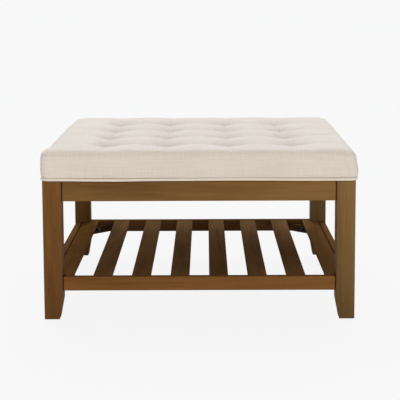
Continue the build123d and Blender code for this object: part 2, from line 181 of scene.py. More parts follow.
# Welt: its waves, how far its left and right ends come in, and its sags along the front
welt_radius = 0.0033
welt_half = 0.4056
welt_height = 0.3673
welt_corner = 0.0206
welt_corner_points = 10
welt_wave = 0.0007
welt_wave_length = 0.21
welt_ripple_share = 0.05
welt_ripple_length = 0.03
welt_ripple_layer = 5
welt_leans = (0.0035, 0.0018)
welt_lean_start = 0.36
welt_sags = ((-0.40, 0.0), (-0.22, 0.0016), (-0.10, 0.0), (0.10, 0.0004), (0.40, 0.0012))
welt_sides = 14
welt_step = 0.004

# Twines and their knots, with shares of the knot's radius and height up its outline
twine_radius = 0.0010
twine_foot = 0.3641
knot_radius = 0.0028
knot_height = 0.0016
knot_shares = ((1.0, 0.0), (1.1, 0.45), (0.7, 0.9), (0.0, 1.0))
knot_sides = 16
merge_distance = 0.00001

# Hidden soft layers
layer_gap = 0.0003
board_top = 0.3783
foam_half = 0.3915
foam_top = 0.4163
foam_edge = 0.004
foam_pull = 0.0080
foam_pull_reach = 0.035
hidden_cells = 104
wadding_stations = (0.006, 0.012, 0.018, 0.024, 0.03, 0.04, 0.05, 0.06, 0.07)
hollow_ring_gap = 0.012

# Dust cover
dust_size = 0.784
dust_height = 0.3646
dust_thickness = 0.0005
dust_cells = 56
dust_sag = 0.0016
dust_sag_power = 4
dust_ripple = 0.0003
dust_ripple_scale = 7
dust_ripple_layer = 2
dust_ripple_power = 8

# Stained wood
wood_tones = {
    # kind or node: light, middle and dark tone
    # Painted light and shade: the right legs are lighter than the left ones, as lit from the right, and the
    # back legs darker than the front ones, as in shade
    "leg_front_left": ((136, 95, 51), (117, 78, 39), (88, 58, 29)),
    "leg_front_right": ((147, 114, 71), (128, 96, 56), (101, 74, 42)),
    "leg_back_left": ((119, 80, 37), (101, 66, 27), (75, 47, 19)),
    "leg_back_right": ((131, 102, 65), (114, 86, 51), (88, 65, 38)),
    "apron": ((148, 109, 64), (130, 94, 51), (100, 70, 38)),
    "shelf": ((141, 98, 56), (123, 82, 43), (94, 62, 31)),
    # Painted shade: the back rail is darker than the other rails
    "shelf_rail_back": ((112, 79, 47), (95, 65, 38), (70, 46, 26)),
    "slat": ((136, 100, 62), (117, 84, 50), (85, 59, 36)),
    "shelf_slat_1": ((137, 97, 51), (118, 81, 39), (86, 56, 27)),
    "shelf_slat_8": ((140, 102, 58), (121, 86, 46), (89, 61, 33)),
    "block": ((92, 64, 37), (72, 48, 27), (46, 30, 17)),
    "dowel": ((222, 186, 140), (206, 166, 120), (176, 134, 92)),
}
# Painted light and shade, as shares of the tone at places along the grain: the legs darker towards the foot,
# the front apron darker towards its ends and the six inner slats lighter in the middle
leg_painted_shade = ((0.02, 0.68), (0.18, 0.93), (0.33, 1.0))
apron_painted_shading = ((-0.34, 0.86), (0.0, 1.02), (0.34, 0.93))
slat_painted_light = ((-0.24, 1.0), (-0.08, 1.52), (0.07, 1.62), (0.20, 1.22), (0.30, 0.93))
wood_roughness = (0.5, 0.64)
slat_roughness = (0.66, 0.8)
block_roughness = (0.6, 0.75)
wood_specular = 0.05
shelf_specular = 0.0015
stain_reach = 0.0035
stain_share = 0.95
stain_tone = (62, 34, 13)

# The wood's patterns: scale along the grain and across it, and how far they move from piece to piece
wood_figure = (1.3, 19.0)
wood_cloud = (2.6, 6.5)
wood_fibre = (9.0, 420.0)
wood_pores = (34.0, 1500.0)
grain_moves = (1.37, 2.11, 0.83)
fibre_share = 0.42
figure_share = 0.58
wood_cloud_share = 0.35
wood_plain_share = 0.75
wood_stops = (0.38, 0.54, 0.70)
wood_gloss_levels = (0.35, 0.70)
pore_levels = (0.60, 0.74)
pore_share = 0.42
fibre_height_share = 0.5

# Linen: light, middle and dark tone, and the scales of its yarns, across them and along them
linen_tones = ((237, 226, 212), (232, 220, 205), (223, 210, 194))
piping_tones = ((245, 235, 219), (241, 230, 214), (231, 219, 202))
thread_width = 0.0011
weft_scales = (520.0, 14.0)
warp_scales = (610.0, 22.0)
linen_cloud_scale = 7.0
weft_share = 0.42
warp_share = 0.40
linen_cloud_share = 0.18
linen_stops = (0.34, 0.50, 0.64)
thread_gap_level = 0.45
thread_gap_share = 0.88
facing_power = 3.0
weft_height_share = 0.8
linen_roughness = (0.88, 0.74)
linen_finish = dict(Specular_IOR_Level=0.32, Sheen_Weight=0.05, Sheen_Roughness=0.4)

# Bumps: height and strength
wood_bump = (0.00012, 0.55)
linen_bump = (0.00022, 0.6)
steel_bump = (0.00003, 0.5)
twine_bump = (0.0002, 0.8)
ply_bump = (0.0001, 0.5)

# Other stuffs
speckled_stuffs = {
    # name: size of its grain, light and dark tone, roughness from and to, height of its bump
    "wadding_fibre": (0.0018, (242, 241, 238), (222, 220, 216), (0.9, 1.0), 0.0006),
    "foam_cells": (0.0008, (240, 226, 178), (218, 200, 150), (0.85, 0.95), 0.0003),
    "dust_felt": (0.0007, (44, 44, 46), (26, 26, 28), (0.85, 0.98), 0.00015),
    "nylon": (0.0009, (52, 46, 40), (38, 33, 28), (0.4, 0.55), 0.00004),
}
steels = {
    # name: light and dark tone, roughness from and to
    "dark_steel": ((70, 64, 58), (40, 36, 33), (0.42, 0.6)),
    "bright_steel": ((206, 204, 198), (150, 148, 144), (0.25, 0.42)),
}
dark_hardware = (
    "block_screws", "board_screws", "tuft_washers", "hanger_bolts", "bolt_washers", "bolt_nuts",
)
twine_tones = ((226, 214, 194), (176, 160, 132))
ply_tones = ((206, 176, 132), (176, 142, 98))
glue_tone = (88, 60, 34)

# Their patterns: scales, shares in the tone, places of dark and light in the ramp, and the levels of a
# pattern between which the roughness changes
speck_cloud_scale = 9.0
speck_share = 0.7
speck_cloud_share = 0.3
speck_stops = (0.36, 0.64)
speck_strength = 0.7
middle_levels = (0.3, 0.7)
steel_marks = (90.0, 90.0, 2600.0)
steel_patch_scale = 160.0
marks_share = 0.4
patch_share = 0.6
steel_stops = (0.35, 0.65)
twist_scale = 210.0
twist_distortion = 1.2
twine_fibre_scales = (900.0, 900.0, 300.0)
twist_share = 0.6
twine_fibre_share = 0.4
twine_stops = (0.25, 0.7)
twine_gloss_levels = (0.2, 0.8)
twine_roughness = (0.7, 0.95)
ply_face_scales = (2.0, 40.0, 40.0)
ply_band_scale = 62.0
ply_stops = (0.3, 0.7)
ply_roughness = (0.6, 0.75)
glue_level = 0.5
glue_share = 0.6


def srgb(red, green, blue):
    """A colour given as it looks on screen, as the linear values that Blender wants."""
    def linear(value):
        share = value / 255
        return share / 12.92 if share <= 0.04045 else ((share + 0.055) / 1.055) ** 2.4
    return (linear(red), linear(green), linear(blue), 1.0)


def smooth_step(value):
    """0 below 0 and 1 above 1, with a smooth rise between."""
    share = min(max(value, 0), 1)
    return share * share * (3 - 2 * share)


def between(stations, place):
    """A smooth curve through (place, value) stations."""
    if place <= stations[0][0]:
        return stations[0][1]
    for (low, low_value), (high, high_value) in zip(stations, stations[1:]):
        if place <= high:
            return low_value + (high_value - low_value) * smooth_step((place - low) / (high - low))
    return stations[-1][1]


def make_camera():
    """The camera at the photograph's angle."""
    data = bpy.data.cameras.new("camera")
    data.sensor_width = camera_sensor
    data.lens = camera_lens
    data.shift_y = camera_shift
    camera = bpy.data.objects.new("camera", data)
    bpy.context.scene.collection.objects.link(camera)
    turn = Matrix.Rotation(-camera_yaw, 4, "Z") @ Matrix.Rotation(math.pi / 2 - camera_pitch, 4, "X")
    camera.matrix_world = Matrix.Translation(camera_place) @ turn @ Matrix.Rotation(camera_roll, 4, "Z")
    bpy.context.scene.camera = camera


class Shader:
    """A material's node tree with short calls for the nodes that this scene uses."""

    def __init__(self, name):
        self.material = bpy.data.materials.new(name)
        self.material.use_nodes = True
        self.tree = self.material.node_tree
        self.tree.nodes.clear()
        self.place = self.add("ShaderNodeTexCoord").outputs

    def add(self, kind, inputs=None, **settings):
        node = self.tree.nodes.new(kind)
        for name, value in settings.items():
            setattr(node, name, value)
        for name, value in (inputs or {}).items():
            self.put(node.inputs[name], value)
        return node

    def put(self, socket, value):
        """Links a socket to another node's output, or sets it to a constant."""
        if isinstance(value, bpy.types.NodeSocket):
            self.tree.links.new(value, socket)
        else:
            socket.default_value = value

    def math(self, operation, first, second=0.0, third=0.0):
        inputs = {0: first, 1: second, 2: third}
        return self.add("ShaderNodeMath", inputs, operation=operation).outputs[0]

    def blended(self, first, first_share, second, second_share):
        """Two patterns, each times its share, added up."""
        return self.math("MULTIPLY_ADD", first, first_share, self.math("MULTIPLY", second, second_share))

    def scaled(self, scale, shift=(0, 0, 0)):
        """Object coordinates times a scale for each axis, moved by a shift."""
        inputs = {"Vector": self.place["Object"], "Scale": scale, "Location": shift}
        return self.add("ShaderNodeMapping", inputs).outputs[0]

    def split(self, output):
        """The three parts of the object's coordinates or of its normal."""
        return self.add("ShaderNodeSeparateXYZ", {0: self.place[output]}).outputs

    def noise(self, vector, detail=2.0, roughness=0.55, distortion=0.0):
        inputs = {
            "Vector": vector, "Scale": 1.0, "Detail": detail,
            "Roughness": roughness, "Distortion": distortion,
        }
        return self.add("ShaderNodeTexNoise", inputs).outputs["Fac"]

    def bands(self, direction, scale, distortion=0.0):
        inputs = {"Vector": self.place["Object"], "Scale": scale, "Distortion": distortion}
        wave = self.add("ShaderNodeTexWave", inputs, wave_type="BANDS", bands_direction=direction)
        return wave.outputs["Fac"]

    def ramp(self, factor, positions, tones):
        """A colour ramp from the dark tone at the first position to the light one at the last."""
        node = self.add("ShaderNodeValToRGB", {"Fac": factor})
        points = node.color_ramp.elements
        while len(points) < len(positions):
            points.new(0.5)
        for point, position, tone in zip(points, positions, reversed(tones)):
            point.position = position
            point.color = srgb(*tone)
        return node.outputs["Color"]

    def levels(self, factor, low, high, new_low=0.0, new_high=1.0):
        inputs = {"Value": factor, "From Min": low, "From Max": high, "To Min": new_low, "To Max": new_high}
        return self.add("ShaderNodeMapRange", inputs).outputs["Result"]

    def mixed(self, factor, first, second, blend_type="MIX"):
        """Two colours mixed, through the mix node's own sockets for colours: inputs 6 and 7, output 2."""
        node = self.add("ShaderNodeMix", data_type="RGBA", blend_type=blend_type)
        for number, value in ((0, factor), (6, first), (7, second)):
            self.put(node.inputs[number], value)
        return node.outputs[2]

    def toned(self, colour, factor):
        """A colour times a plain factor."""
        grey = self.add("ShaderNodeCombineColor", {0: factor, 1: factor, 2: factor}).outputs[0]
        return self.mixed(1.0, colour, grey, "MULTIPLY")

    def bump(self, pattern, height, strength):
        inputs = {"Height": pattern, "Distance": height, "Strength": strength}
        return self.add("ShaderNodeBump", inputs).outputs["Normal"]

    def finish(self, colour, roughness, normal, **constants):
        """The surface, with every constant set on the shader's own socket."""
        inputs = {"Base Color": colour, "Roughness": roughness, "Normal": normal}
        inputs.update({name.replace("_", " "): value for name, value in constants.items()})
        surface = self.add("ShaderNodeBsdfPrincipled", inputs)
        self.add("ShaderNodeOutputMaterial", {"Surface": surface.outputs["BSDF"]})
        return self.material


def axis_scales(axis, on_axis, elsewhere):
    """One scale for an axis of the object and another for the other two."""
    return tuple(on_axis if name == axis else elsewhere for name in "XYZ")


def wood_material(
    name, axis, shift, tones, roughness_range=wood_roughness, specular=wood_specular, ends=None, painted_shading=None,
):
    """Stained wood: long figure, fine fibres and pores along the grain, with a satin finish.

    Stain gathers at the ends, given as two places along the grain. A painted shading, of painted light and
    shade, goes through (place, share) stations along the grain."""
    shader = Shader(name)

    def grain(scales, **looks):
        return shader.noise(shader.scaled(axis_scales(axis, *scales), shift), **looks)

    figure = grain(wood_figure, detail=4.0, distortion=0.7)
    cloud = grain(wood_cloud)
    fibre = grain(wood_fibre, detail=3.0, roughness=0.65)
    pores = grain(wood_pores, detail=1.0)
    tone = shader.blended(fibre, fibre_share, figure, figure_share)
    tone = shader.blended(cloud, wood_cloud_share, tone, wood_plain_share)
    colour = shader.ramp(tone, wood_stops, tones)
    pore_mask = shader.levels(pores, *pore_levels)
    colour = shader.mixed(shader.math("MULTIPLY", pore_mask, pore_share), colour, srgb(*tones[-1]))
    along = shader.split("Object")["XYZ".index(axis)]
    if ends:
        low = shader.levels(along, ends[0] + stain_reach, ends[0] + stain_reach / 2)
        high = shader.levels(along, ends[1] - stain_reach, ends[1] - stain_reach / 2)
        gathered = shader.math("MULTIPLY", shader.math("MAXIMUM", low, high), stain_share)
        colour = shader.mixed(gathered, colour, srgb(*stain_tone))
    # Painted light and shade: the tone is made lighter or darker along the grain
    if painted_shading:
        share = painted_shading[0][1]
        for (place, low), (next_place, high) in zip(painted_shading, painted_shading[1:]):
            share = shader.math("ADD", share, shader.levels(along, place, next_place, 0.0, high - low))
        colour = shader.toned(colour, share)
    surface = shader.math("SUBTRACT", shader.math("MULTIPLY", fibre, fibre_height_share), pore_mask)
    normal = shader.bump(surface, *wood_bump)
    roughness = shader.levels(tone, *wood_gloss_levels, *roughness_range)
    return shader.finish(colour, roughness, normal, Specular_IOR_Level=specular)


def box_mapped(shader, top, front, side):
    """Mixes three flat patterns by which way the surface faces."""
    facing = shader.split("Normal")
    weights = [shader.math("POWER", shader.math("ABSOLUTE", facing[i]), facing_power) for i in range(3)]
    total = shader.math("ADD", shader.math("ADD", weights[0], weights[1]), weights[2])
    value = shader.math("MULTIPLY", weights[2], top)
    value = shader.math("MULTIPLY_ADD", weights[1], front, value)
    value = shader.math("MULTIPLY_ADD", weights[0], side, value)
    return shader.math("DIVIDE", value, total)


def linen_material(name, tones):
    """Slubby plain-weave linen: crossing threads, uneven yarns, and painted shade down in the folds."""
    shader = Shader(name)

    def yarns(axis, scales):
        return shader.noise(shader.scaled(axis_scales(axis, *scales)))

    # Blender's bands repeat every pi / (10 * scale)
    threads = {axis: shader.bands(axis, math.pi / (10 * thread_width)) for axis in "XYZ"}
    crossings = [
        shader.math("MAXIMUM", threads[first], threads[second]) for first, second in ("XY", "XZ", "YZ")
    ]
    weave = box_mapped(shader, *crossings)
    weft_upright = yarns("Z", weft_scales)
    weft = box_mapped(shader, yarns("Y", weft_scales), weft_upright, weft_upright)
    warp_across = yarns("X", warp_scales)
    warp = box_mapped(shader, warp_across, warp_across, yarns("Y", warp_scales))
    cloud = shader.noise(shader.scaled((linen_cloud_scale,) * 3), detail=3.0)
    tone = shader.blended(weft, weft_share, warp, warp_share)
    tone = shader.math("MULTIPLY_ADD", cloud, linen_cloud_share, tone)
    colour = shader.ramp(tone, linen_stops, tones)
    colour = shader.toned(colour, shader.levels(weave, 0.0, thread_gap_level, thread_gap_share, 1.0))
    # Painted shade: the linen is darker low down in the tufts and folds, inside the top's edges
    place = shader.split("Object")
    across = shader.math("MAXIMUM", shader.math("ABSOLUTE", place[0]), shader.math("ABSOLUTE", place[1]))
    inside = shader.levels(across, *fold_shade_edges, 1.0, 0.0)
    painted_fold_shade = shader.levels(place[2], *fold_shade_heights, fold_shade_share, 0.0)
    colour = shader.toned(colour, shader.math("SUBTRACT", 1.0, shader.math("MULTIPLY", painted_fold_shade, inside)))
    surface = shader.math("MULTIPLY_ADD", weft, weft_height_share, weave)
    normal = shader.bump(surface, *linen_bump)
    roughness = shader.levels(weave, 0.0, 1.0, *linen_roughness)
    return shader.finish(colour, roughness, normal, **linen_finish)


def speckled_material(name):
    """Foam, felt, nylon and other plain stuffs: a mottled colour with a fine surface."""
    size, light, dark, roughness_range, bump_height = speckled_stuffs[name]
    shader = Shader(name)
    grain = shader.noise(shader.scaled((1 / size,) * 3), detail=4.0, roughness=0.6)
    cloud = shader.noise(shader.scaled((speck_cloud_scale,) * 3))
    tone = shader.blended(grain, speck_share, cloud, speck_cloud_share)
    colour = shader.ramp(tone, speck_stops, (light, dark))
    roughness = shader.levels(grain, *middle_levels, *roughness_range)
    return shader.finish(colour, roughness, shader.bump(grain, bump_height, speck_strength))


def steel_material(name):
    """Plated steel with fine drawing marks and duller patches."""
    light, dark, roughness_range = steels[name]
    shader = Shader(name)
    marks = shader.noise(shader.scaled(steel_marks))
    patch = shader.noise(shader.scaled((steel_patch_scale,) * 3), detail=3.0)
    tone = shader.blended(marks, marks_share, patch, patch_share)
    colour = shader.ramp(tone, steel_stops, (light, dark))
    roughness = shader.levels(patch, *middle_levels, *roughness_range)
    return shader.finish(colour, roughness, shader.bump(marks, *steel_bump), Metallic=1.0)


def twisted_material(name):
    """Twine: a twisted cord in warm fibres."""
    shader = Shader(name)
    twist = shader.bands("DIAGONAL", twist_scale, twist_distortion)
    fibre = shader.noise(shader.scaled(twine_fibre_scales))
    tone = shader.blended(twist, twist_share, fibre, twine_fibre_share)
    colour = shader.ramp(tone, twine_stops, twine_tones)
    roughness = shader.levels(fibre, *twine_gloss_levels, *twine_roughness)
    return shader.finish(colour, roughness, shader.bump(tone, *twine_bump))


def ply_material(name):
    """Birch plywood: a pale face with dark glue lines across its thickness."""
    shader = Shader(name)
    face = shader.noise(shader.scaled(ply_face_scales), detail=4.0, distortion=0.5)
    plies = shader.bands("Z", ply_band_scale)
    colour = shader.ramp(face, ply_stops, ply_tones)
    edge = shader.math("SUBTRACT", 1.0, shader.math("ABSOLUTE", shader.split("Normal")[2]))
    line = shader.math("MULTIPLY", edge, shader.levels(plies, 0.0, glue_level, glue_share, 0.0))
    colour = shader.mixed(line, colour, srgb(*glue_tone))
    roughness = shader.levels(face, *middle_levels, *ply_roughness)
    return shader.finish(colour, roughness, shader.bump(face, *ply_bump))


def give(name, material):
    """Puts a material on every slot of a CAD node."""
    data = nodes[name].data
    data.materials.clear()
    data.materials.append(material)


def wood_looks(name):
    """The tones, the grain's axis and the other looks of a wooden node, or nothing for any other node."""
    if name.startswith("leg_"):
        # Painted shade: the legs are darker towards the foot
        return name, "Z", dict(painted_shading=leg_painted_shade)
    if name.startswith("shelf_slat_"):
        looks = dict(roughness_range=slat_roughness, specular=shelf_specular)
        if name in wood_tones:
            return name, "Y", looks
        # Painted light: the six inner slats are lighter in the middle of the shelf
        return "slat", "Y", dict(looks, painted_shading=slat_painted_light)
    if "block_" in name and not name.endswith("screws"):
        return "block", "Z", dict(roughness_range=block_roughness, specular=shelf_specular)
    if name.startswith(("apron_", "shelf_rail_")):
        kind = name if name in wood_tones else name.split("_")[0]
        axis = "X" if name.endswith(("front", "back")) else "Y"
        looks = dict(ends=[corner["XYZ".index(axis)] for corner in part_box(name)])
        # Painted light and shade along the front apron: darker towards its ends, most at the left
        if name == "apron_front":
            looks["painted_shading"] = apron_painted_shading
        if kind.startswith("shelf"):
            looks["specular"] = shelf_specular
        return kind, axis, looks
    return None


def dress_frame():
    """Materials for every CAD node, with the wood's grain along each piece."""
    for number, name in enumerate(sorted(nodes)):
        found = wood_looks(name)
        if found:
            kind, axis, looks = found
            shift = tuple(number * move for move in grain_moves)
            give(name, wood_material(name + "_wood", axis, shift, wood_tones[kind], **looks))
    beech = wood_material("beech", "Z", (0, 0, 0), wood_tones["dowel"], roughness_range=block_roughness)
    give("dowels", beech)
    give("top_board", ply_material("plywood"))
    dark_steel = steel_material("dark_steel")
    for name in dark_hardware:
        give(name, dark_steel)
    give("staples", steel_material("bright_steel"))
    give("foot_glides", speckled_material("nylon"))


def rounded_place(a, b, outline_half, corner):
    """Where a point of the unit square lands on a square with round corners."""
    flat_share = (top_half - top_corner) / top_half
    core = outline_half - corner

    def split(value):
        size = abs(value)
        if size <= flat_share:
            return size / flat_share * core, 0.0
        return core, (size - flat_share) / (1 - flat_share)

    x, over_x = split(a)
    y, over_y = split(b)
    reach = max(over_x, over_y)
    if over_x and over_y:
        if over_x >= over_y:
            angle = over_y / over_x * math.pi / 4
        else:
            angle = math.pi / 2 - over_x / over_y * math.pi / 4
        x += reach * corner * math.cos(angle)
        y += reach * corner * math.sin(angle)
    else:
        x += over_x * corner
        y += over_y * corner
    return math.copysign(x, a), math.copysign(y, b)


def level_ring(outline_half, corner, height):
    """The points of a level square with round corners."""
    return lambda a, b: Vector((*rounded_place(a, b, outline_half, corner), height))


def drawn_columns(y):
    """Where sewing has drawn the columns of tufts, which even out again at the front and back edges."""
    share = min(max((y - tuft_lines[0]) / (tuft_lines[-1] - tuft_lines[0]), 0), 1)
    past = max(abs(y) - tuft_lines[-1], 0) / (top_half - tuft_lines[-1])
    places = [front + (back - front) * share for front, back in tuft_columns]
    return [place + (line - place) * past for line, place in zip(tuft_lines, places)]


def grid_x(x, y):
    """A place across the cushion in the even grid of tufts."""
    drawn = [-top_half, *drawn_columns(y), top_half]
    even = [-top_half, *tuft_lines, top_half]
    number = max(1, min(sum(x > place for place in drawn), len(drawn) - 1))
    share = (x - drawn[number - 1]) / (drawn[number] - drawn[number - 1])
    return even[number - 1] + share * (even[number] - even[number - 1])


def line_distance(value):
    """How far a place is from the nearest line of tufts, and that line."""
    line = min(tuft_lines, key=lambda tuft: abs(value - tuft))
    return abs(value - line), line


def valley(value, along, sides):
    """Depth of a valley and its crease along a line of tufts, deepest at each tuft, fading past the last."""
    reach, end_share = valley_fades[sides[along > 0]]
    distance, _ = line_distance(value)
    from_tuft, _ = line_distance(along)
    share = max(1 - distance / tuft_half_pitch, 0)
    pull = math.cos(math.pi / 2 * min(from_tuft / tuft_half_pitch, 1)) ** tuft_pull_power
    fade = 1 - (1 - end_share) * smooth_step((abs(along) - tuft_lines[-1]) / reach)
    crease = crease_depth * fade + (crease_tuft_depth - crease_depth) * pull
    crease *= math.exp(-(distance / crease_width) ** crease_power)
    return valley_depth * share ** valley_power * fade + crease


def pleat(value, along):
    """A short pleat that runs from an outer tuft over the edge."""
    distance, _ = line_distance(value)
    depth = pleat_depth * math.exp(-(distance / pleat_width) ** 2)
    return depth * smooth_step((abs(along) - pleat_start) / pleat_run)


def lumps(x, y, z):
    """Small unevenness, the same on every run."""
    broad = noise.noise(Vector((x, y, z)) / lump_size)
    fine = noise.noise(Vector((x, y, z)) / crease_size)
    return lump_height * broad + crease_height * fine


def top_height(x, y):
    """Height of the tufted top over a place."""
    x = grid_x(x, y)
    distance_x, line_x = line_distance(x)
    distance_y, line_y = line_distance(y)
    radius = math.hypot(distance_x, distance_y)
    crown_share = (1 - (x / half) ** 2) * (1 - (y / half) ** 2)
    drop = valley(x, y, ("front", "back")) + valley(y, x, ("left", "right"))
    drop += pit_depth * math.exp(-(radius / pit_reach) ** pit_power)
    drop += dish_depth * math.exp(-(radius / dish_reach) ** 2)
    drop *= 1 - right_ease_share * smooth_step((x - tuft_lines[1]) / (half - tuft_lines[1]))
    angle = math.atan2(y - line_y, x - line_x)
    phase = pucker_turns[0] * line_x / tuft_half_pitch + pucker_turns[1] * line_y / tuft_half_pitch
    pucker = math.cos(pucker_count * angle + phase) * radius / pucker_reach
    pucker *= math.exp(1 - radius / pucker_reach)
    drop += pucker_depth * max(pucker, -pucker_rise_share) * math.exp(-(radius / (2 * pucker_reach)) ** 2)
    drop += pleat(x, y) + pleat(y, x)
    edge = max(abs(x), abs(y))
    last_pillow = tuft_lines[-1] + tuft_half_pitch
    drop += edge_drop * max((edge - last_pillow) / (top_half - last_pillow), 0) ** 2
    rise = back_rise * smooth_step((y + top_half) / back_rise_reach)
    return crest + crown * crown_share + rise - drop + lumps(x, y, 0)


def lean(x, y, z):
    """A point of the cushion's skin, with the slack stuffing of its sides taken in."""
    weight = smooth_step((abs(x) - lean_start) / (top_half - lean_start))
    low, leans, heights = left_low_lean, left_leans, left_lean_heights
    if x > 0:
        low, leans, heights = right_low_lean, right_leans, right_lean_heights
    pull = low + (between(leans, y) - low) * smooth_step((z - heights[0]) / (heights[1] - heights[0]))
    if x < 0:
        ear = smooth_step((z - ear_bottom) / ear_rise) * (1 - smooth_step((y + half - ear_full) / ear_fall))
        pull -= ear_out * ear
    return Vector((x - math.copysign(pull * weight, x), y, z))


def top_place(a, b):
    """A point of the tufted top."""
    x, y = rounded_place(a, b, top_half, top_corner)
    return lean(x, y, top_height(x, y))


def wall_stations():
    """Distances down the side from the top's edge, closer together at the boxing seam."""
    arc = shoulder * math.pi / 2
    total = arc + crest - shoulder - seam_height
    count = round(total / wall_step)
    plain = [number * total / count for number in range(1, count)]
    near = [boxing_seam_down + share * boxing_seam_width for share in seam_ring_shares]
    gap = seam_clear_share * boxing_seam_width
    clear = [place for place in plain if abs(place - boxing_seam_down) > gap]
    return sorted(clear + near) + [total - step for step in wall_end_steps]


def wall_place(a, b, down, edge_height):
    """A point of the side wall, given by how far down it lies from the top's edge."""
    arc = shoulder * math.pi / 2
    if down < arc:
        turn = down / shoulder
        out = top_half + shoulder * math.sin(turn)
        height = crest - shoulder + shoulder * math.cos(turn)
        height += (edge_height - crest) * math.cos(turn)
        corner = wall_corner + (top_corner - wall_corner) * (1 - math.sin(turn))
    else:
        height = crest - shoulder - (down - arc)
        tucked_height = tuck_share * (crest - shoulder - seam_height)
        out = half - seam_tuck * max(1 - (height - seam_height) / tucked_height, 0) ** 2
        corner = wall_corner
    x, y = rounded_place(a, b, half, wall_corner)
    out -= boxing_seam_depth * math.exp(-((down - boxing_seam_down) / (boxing_seam_width / 2)) ** 2)
    low_end = smooth_step((height - seam_height) / wall_end)
    scaled_place = [scale * place for scale, place in zip(wall_lump_scales, (x, y, height))]
    out += wall_lump_share * lumps(*scaled_place) * low_end
    out -= wall_end_tuck * (1 - low_end) ** 2
    x, y = rounded_place(a, b, out, corner)
    return lean(x, y, height)


def wall_ring(down):
    """The points of a ring of the side wall."""
    return lambda a, b: wall_place(a, b, down, top_place(a, b).z)


def hem_rings():
    """Rings under the side wall: in behind the welt, down the board's edge and in under it."""
    inner = skirt_half - hem_width
    outline = [(half - seam_tuck - seam_in, seam_height - seam_falls[0])]
    outline += [(skirt_half, seam_height - fall) for fall in seam_falls[1:]]
    outline += [
        (skirt_half, hem_height + hem_ease_up), (skirt_half - hem_ease_in, hem_height),
        (skirt_half - hem_border, hem_height), (inner + hem_border, hem_height), (inner, hem_height),
    ]
    return [
        level_ring(outline_half, max(skirt_corner + outline_half - skirt_half, least_corner), height)
        for outline_half, height in outline
    ]


def new_piece(name, points, faces):
    """A smoothly shaded piece, linked to the scene."""
    mesh = bpy.data.meshes.new(name)
    mesh.from_pydata([tuple(point) for point in points], [], faces)
    mesh.polygons.foreach_set("use_smooth", [True] * len(mesh.polygons))
    mesh.update()
    piece = bpy.data.objects.new(name, mesh)
    bpy.context.scene.collection.objects.link(piece)
    return piece


def grid_steps(cells):
    """The places of a grid's lines, from -1 to 1."""
    return [2 * number / cells - 1 for number in range(cells + 1)]


def grid_faces(cells):
    """The squares of a grid whose points come row by row."""
    row = cells + 1
    return [
        (j * row + i, j * row + i + 1, (j + 1) * row + i + 1, (j + 1) * row + i)
        for j in range(cells) for i in range(cells)
    ]


def grid_piece(name, cells, top, rings, bottom=None):
    """A piece with a square grid for its top, rings of points down its sides and, if asked, a closed bottom.

    The top, each ring and the bottom give a point for each place of the unit square."""
    steps = grid_steps(cells)
    points = [top(a, b) for b in steps for a in steps]
    faces = grid_faces(cells)
    around = [(i, 0) for i in range(cells)] + [(cells, j) for j in range(cells)]
    around += [(cells - i, cells) for i in range(cells)] + [(0, cells - j) for j in range(cells)]
    above = [j * (cells + 1) + i for i, j in around]
    for ring in rings:
        start = len(points)
        points += [ring(steps[i], steps[j]) for i, j in around]
        below = list(range(start, len(points)))
        for number, low in enumerate(below):
            after = (number + 1) % len(below)
            faces.append((above[number], low, below[after], above[after]))
        above = below
    if bottom:
        index = {place: above[number] for number, place in enumerate(around)}
        for j in range(1, cells):
            for i in range(1, cells):
                index[(i, j)] = len(points)
                points.append(bottom(steps[i], steps[j]))
        for j in range(cells):
            for i in range(cells):
                faces.append((index[(i, j)], index[(i, j + 1)], index[(i + 1, j + 1)], index[(i + 1, j)]))
    return new_piece(name, points, faces)


def apply_modifiers(piece):
    """Bakes a piece's modifiers into its mesh."""
    graph = bpy.context.evaluated_depsgraph_get()
    baked = bpy.data.meshes.new_from_object(piece.evaluated_get(graph))
    piece.modifiers.clear()
    piece.data = baked


def finish_piece(piece, material, slot, *replaced):
    """Gives a piece its material and its body, and hides the CAD nodes that it stands for; the slot is not
    used.
    """
    piece.data.materials.clear()
    piece.data.materials.append(material)
    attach(piece, "root")
    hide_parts(*replaced)


def make_cushion(material):
    """The sewn cover, as a shell of cloth: tufted top, boxed sides and the turned hem."""
    rings = [wall_ring(down) for down in wall_stations()] + hem_rings()
    cover = grid_piece("linen_cover", top_cells, top_place, rings)
    shell = cover.modifiers.new("cloth", "SOLIDIFY")
    shell.thickness = cloth_thickness
    shell.offset = -1
    apply_modifiers(cover)
    finish_piece(cover, material, "linen", "cushion_cover")


def welt_path():
    """The welt's route round the cushion: place and outward direction for each ring."""
    core = welt_half - welt_corner
    straight = round(2 * core / welt_step)
    quarter = []
    for number in range(straight):
        along = core * (1 - 2 * number / straight)
        quarter.append((Vector((welt_half, -along)), Vector((1, 0))))
    for number in range(welt_corner_points):
        angle = number / welt_corner_points * math.pi / 2
        out = Vector((math.cos(angle), math.sin(angle)))
        quarter.append((Vector((core, core)) + welt_corner * out, out))
    spins = [Matrix.Rotation(turn * math.pi / 2, 2) for turn in range(4)]
    return [(spin @ place, spin @ out) for spin in spins for place, out in quarter]


